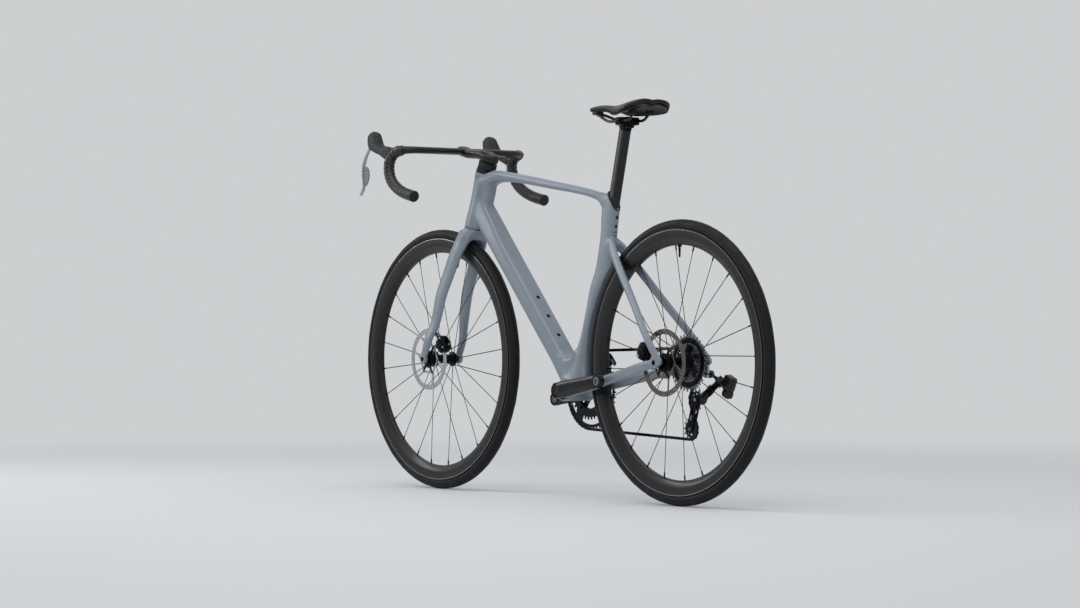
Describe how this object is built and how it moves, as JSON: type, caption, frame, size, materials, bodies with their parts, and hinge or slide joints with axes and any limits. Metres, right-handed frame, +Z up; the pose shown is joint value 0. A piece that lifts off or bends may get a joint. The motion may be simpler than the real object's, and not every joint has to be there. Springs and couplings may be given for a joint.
{
  "type": "road bike",
  "caption": "Road bike with a drop bar, disc brakes, deep rims, two chainrings, a wide cassette and wireless derailleurs; wheels, cranks, steering, levers and seat all move.",
  "frame": {"origin": "on the ground, midway between the two axles, in the middle plane", "axes": "+X forward, +Y to the rider's left, +Z up"},
  "size_m": [1.668, 0.4416, 0.9694],
  "materials": {
    "frame_paint": "satin light blue-grey",
    "carbon": "clear-coated black carbon",
    "black_alloy": "black anodised",
    "bare_alloy": "machined",
    "steel": "bare steel",
    "tyre_rubber": "matt",
    "soft_rubber": "matt",
    "bar_tape": "semi-gloss",
    "black_plastic": "satin",
    "saddle_skin": "smooth synthetic leather",
    "brake_pad": "sintered"
  },
  "bodies": {
    "frame": {"frame": "frame_paint", "seat_clamp_cover": "soft_rubber", "bottom_bracket": "black_alloy", "headset_lower_bearing": "steel", "headset_upper_bearing": "steel", "rear_axle": "black_alloy", "derailleur_hanger": "bare_alloy", "rear_derailleur_knuckle": "black_alloy", "derailleur_battery": "black_plastic", "front_derailleur_body": "black_alloy", "rear_brake_caliper": "black_alloy", "chain": "steel"},
    "steering": {"fork": "frame_paint", "headset_cover": "black_plastic", "headset_spacers": "black_plastic", "stem": "black_alloy", "stem_top_cap": "black_alloy", "handlebar": "carbon", "bar_tape_left": "bar_tape", "bar_tape_right": "bar_tape", "hood_left": "soft_rubber", "hood_right": "soft_rubber", "front_axle": "black_alloy", "front_brake_caliper": "black_alloy"},
    "front_wheel": {"front_hub_and_spokes": "black_alloy", "front_rim": "carbon", "front_tyre": "tyre_rubber", "front_brake_rotor": "steel", "front_valve": "black_alloy"},
    "rear_wheel": {"rear_hub_and_spokes": "black_alloy", "rear_rim": "carbon", "rear_tyre": "tyre_rubber", "rear_brake_rotor": "steel", "rear_valve": "black_alloy"},
    "crankset": {"crank_right": "carbon", "crank_left": "carbon", "outer_chainring": "black_alloy", "inner_chainring": "black_alloy"},
    "sprockets": {"cassette": "steel", "freehub_body": "black_alloy"},
    "seatpost": {"seatpost": "carbon", "saddle_clamp": "black_alloy"},
    "saddle": {"saddle_cover": "saddle_skin", "saddle_shell": "black_plastic", "saddle_rails": "steel"},
    "brake_lever_left": {"brake_lever_left": "black_alloy"},
    "brake_lever_right": {"brake_lever_right": "black_alloy"},
    "shift_paddle_left": {"shift_paddle_left": "black_plastic"},
    "shift_paddle_right": {"shift_paddle_right": "black_plastic"},
    "front_pad_left": {"front_brake_pad_left": "brake_pad"},
    "front_pad_right": {"front_brake_pad_right": "brake_pad"},
    "rear_pad_left": {"rear_brake_pad_left": "brake_pad"},
    "rear_pad_right": {"rear_brake_pad_right": "brake_pad"},
    "derailleur_outer_link": {"rear_derailleur_outer_link": "black_alloy"},
    "derailleur_inner_link": {"rear_derailleur_inner_link": "black_alloy"},
    "derailleur_body": {"rear_derailleur_body": "black_alloy"},
    "derailleur_cage": {"derailleur_cage": "black_alloy"},
    "guide_pulley": {"guide_pulley": "black_plastic"},
    "tension_pulley": {"tension_pulley": "black_plastic"},
    "front_derailleur_cage": {"front_derailleur_cage": "black_alloy"}
  },
  "joints": [
    {"name": "steering", "type": "hinge", "parent": "frame", "child": "steering", "pos_m": [0.34379, 0, 0.67968], "axis": [-0.2924, 0, 0.9563], "range_deg": [-60, 60]},
    {"name": "front_wheel_spin", "type": "hinge", "parent": "steering", "child": "front_wheel", "pos_m": [0.495, 0, 0.339], "axis": [0, 1, 0], "continuous": true},
    {"name": "rear_wheel_spin", "type": "hinge", "parent": "frame", "child": "rear_wheel", "pos_m": [-0.495, 0, 0.339], "axis": [0, 1, 0], "continuous": true},
    {"name": "crank_spin", "type": "hinge", "parent": "frame", "child": "crankset", "pos_m": [-0.09137, 0, 0.267], "axis": [0, 1, 0], "continuous": true, "deforming": ["chain"]},
    {"name": "sprocket_spin", "type": "hinge", "parent": "frame", "child": "sprockets", "pos_m": [-0.495, 0, 0.339], "axis": [0, 1, 0], "continuous": true},
    {"name": "seat_height", "type": "slide", "parent": "frame", "child": "seatpost", "axis": [-0.2453, 0, 0.9694], "range_m": [-0.05, 0.04]},
    {"name": "saddle_fore_aft", "type": "slide", "parent": "seatpost", "child": "saddle", "axis": [1, 0, 0], "range_m": [-0.012, 0.015]},
    {"name": "brake_lever_left", "type": "hinge", "parent": "steering", "child": "brake_lever_left", "pos_m": [0.5495, 0.1845, 0.891], "axis": [0, 1, 0], "range_deg": [0, 22], "stiffness_Nm_per_rad": 2, "springref_deg": -11.46},
    {"name": "shift_paddle_left", "type": "hinge", "parent": "brake_lever_left", "child": "shift_paddle_left", "pos_m": [0.5805, 0.1845, 0.841], "axis": [0, 0, 1], "range_deg": [0, 8], "stiffness_Nm_per_rad": 0.06, "springref_deg": -11.46},
    {"name": "brake_lever_right", "type": "hinge", "parent": "steering", "child": "brake_lever_right", "pos_m": [0.5495, -0.1845, 0.891], "axis": [0, 1, 0], "range_deg": [0, 22], "stiffness_Nm_per_rad": 2, "springref_deg": -11.46},
    {"name": "shift_paddle_right", "type": "hinge", "parent": "brake_lever_right", "child": "shift_paddle_right", "pos_m": [0.5805, -0.1845, 0.841], "axis": [0, 0, -1], "range_deg": [0, 8], "stiffness_Nm_per_rad": 0.06, "springref_deg": -11.46},
    {"name": "front_pad_left", "type": "slide", "parent": "steering", "child": "front_pad_left", "axis": [0, -1, 0], "range_m": [0, 0.0003]},
    {"name": "front_pad_right", "type": "slide", "parent": "steering", "child": "front_pad_right", "axis": [0, 1, 0], "range_m": [0, 0.0003]},
    {"name": "rear_pad_left", "type": "slide", "parent": "frame", "child": "rear_pad_left", "axis": [0, -1, 0], "range_m": [0, 0.0003]},
    {"name": "rear_pad_right", "type": "slide", "parent": "frame", "child": "rear_pad_right", "axis": [0, 1, 0], "range_m": [0, 0.0003]},
    {"name": "derailleur_swing", "type": "hinge", "parent": "frame", "child": "derailleur_outer_link", "pos_m": [-0.544, -0.085, 0.296], "axis": [0.394, 0.6157, 0.6824], "range_deg": [-44, 35], "deforming": ["chain"]},
    {"name": "derailleur_inner_link_swing", "type": "hinge", "parent": "frame", "child": "derailleur_inner_link", "pos_m": [-0.54831, -0.07397, 0.28853], "axis": [0.394, 0.6157, 0.6824], "range_deg": [-44, 35]},
    {"name": "derailleur_body_swing", "type": "hinge", "parent": "derailleur_outer_link", "child": "derailleur_body", "pos_m": [-0.51109, -0.085, 0.277], "axis": [0.394, 0.6157, 0.6824], "range_deg": [-35, 44]},
    {"name": "chain_tension", "type": "hinge", "parent": "derailleur_body", "child": "derailleur_cage", "pos_m": [-0.503, 0, 0.251], "axis": [0, 1, 0], "range_deg": [-35, 50], "stiffness_Nm_per_rad": 0.6, "deforming": ["chain"]},
    {"name": "guide_pulley_spin", "type": "hinge", "parent": "derailleur_cage", "child": "guide_pulley", "pos_m": [-0.503, 0, 0.251], "axis": [0, 1, 0], "continuous": true},
    {"name": "tension_pulley_spin", "type": "hinge", "parent": "derailleur_cage", "child": "tension_pulley", "pos_m": [-0.4824, 0, 0.18045], "axis": [0, 1, 0], "continuous": true},
    {"name": "front_shift", "type": "slide", "parent": "frame", "child": "front_derailleur_cage", "axis": [0, 1, 0], "range_m": [0, 0.008], "deforming": ["chain"]}
  ],
  "couplings": [
    {"joint": "sprocket_spin", "follows": "crank_spin", "ratio": 2.8235},
    {"joint": "guide_pulley_spin", "follows": "crank_spin", "ratio": -4},
    {"joint": "tension_pulley_spin", "follows": "crank_spin", "ratio": 4},
    {"joint": "derailleur_inner_link_swing", "follows": "derailleur_swing", "ratio": 1},
    {"joint": "derailleur_body_swing", "follows": "derailleur_swing", "ratio": -1},
    {"joint": "front_pad_left", "follows": "brake_lever_left", "m_per_rad": 0.00078131},
    {"joint": "front_pad_right", "follows": "brake_lever_left", "m_per_rad": 0.00078131},
    {"joint": "rear_pad_left", "follows": "brake_lever_right", "m_per_rad": 0.00078131},
    {"joint": "rear_pad_right", "follows": "brake_lever_right", "m_per_rad": 0.00078131}
  ]
}
